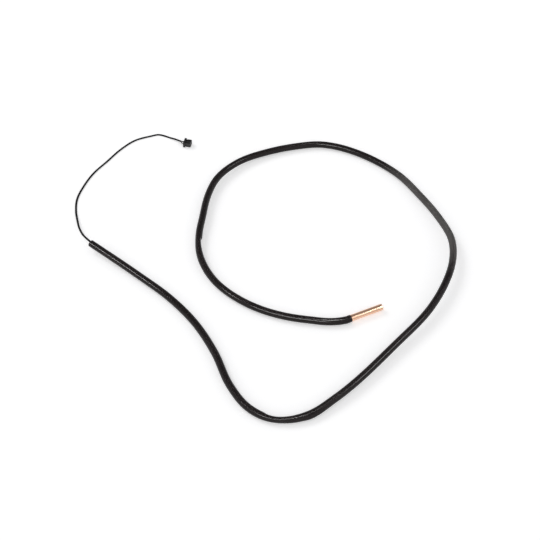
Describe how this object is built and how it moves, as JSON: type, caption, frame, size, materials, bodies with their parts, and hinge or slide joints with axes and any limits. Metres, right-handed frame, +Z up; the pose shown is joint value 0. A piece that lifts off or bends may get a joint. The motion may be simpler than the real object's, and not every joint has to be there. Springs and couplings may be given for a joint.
{
  "type": "wired probe sensor",
  "caption": "Copper-cased probe sensor on a thin flat lead that runs through a long flexible black sleeve to a small plug, lying in a loose open loop.",
  "frame": {"origin": "under the middle of the copper probe, on the surface that the lead lies on", "axes": "+X along the probe towards its closed tip, +Z up, +Y to the left of the probe"},
  "size_m": [0.3159, 0.3817, 0.0128],
  "materials": {
    "copper_case": "polished drawn copper",
    "potting": "cast epoxy",
    "chip_ceramic": "sintered",
    "bead_resin": "dipped resin",
    "leg_wire": "tinned wire",
    "leg_tube": "insulating tube",
    "ferrule_metal": "tin-plated",
    "shrink_tube": "shrunk tube",
    "bare_strand": "bare stranded copper",
    "sleeve_vinyl": "soft glossy vinyl",
    "lead_vinyl": "satin vinyl",
    "contact_metal": "tin-plated spring metal",
    "plug_nylon": "moulded nylon"
  },
  "bodies": {
    "root": {"copper_sheath": "copper_case", "epoxy_potting": "potting", "thermistor_chip": "chip_ceramic", "bead_coating": "bead_resin", "bead_leg_a": "leg_wire", "bead_leg_b": "leg_wire", "leg_sleeve_a": "leg_tube", "leg_sleeve_b": "leg_tube", "splice_ferrule_a": "ferrule_metal", "splice_ferrule_b": "ferrule_metal", "splice_sleeve_a": "shrink_tube", "splice_sleeve_b": "shrink_tube", "probe_strand_a": "bare_strand", "probe_strand_b": "bare_strand", "probe_core_a": "lead_vinyl", "probe_core_b": "lead_vinyl", "outer_sleeve": "sleeve_vinyl", "twin_lead": "lead_vinyl", "plug_core_a": "lead_vinyl", "plug_core_b": "lead_vinyl", "plug_strand_a": "bare_strand", "plug_strand_b": "bare_strand", "plug_contact_a": "contact_metal", "plug_contact_b": "contact_metal", "plug_housing": "plug_nylon"}
  },
  "joints": []
}
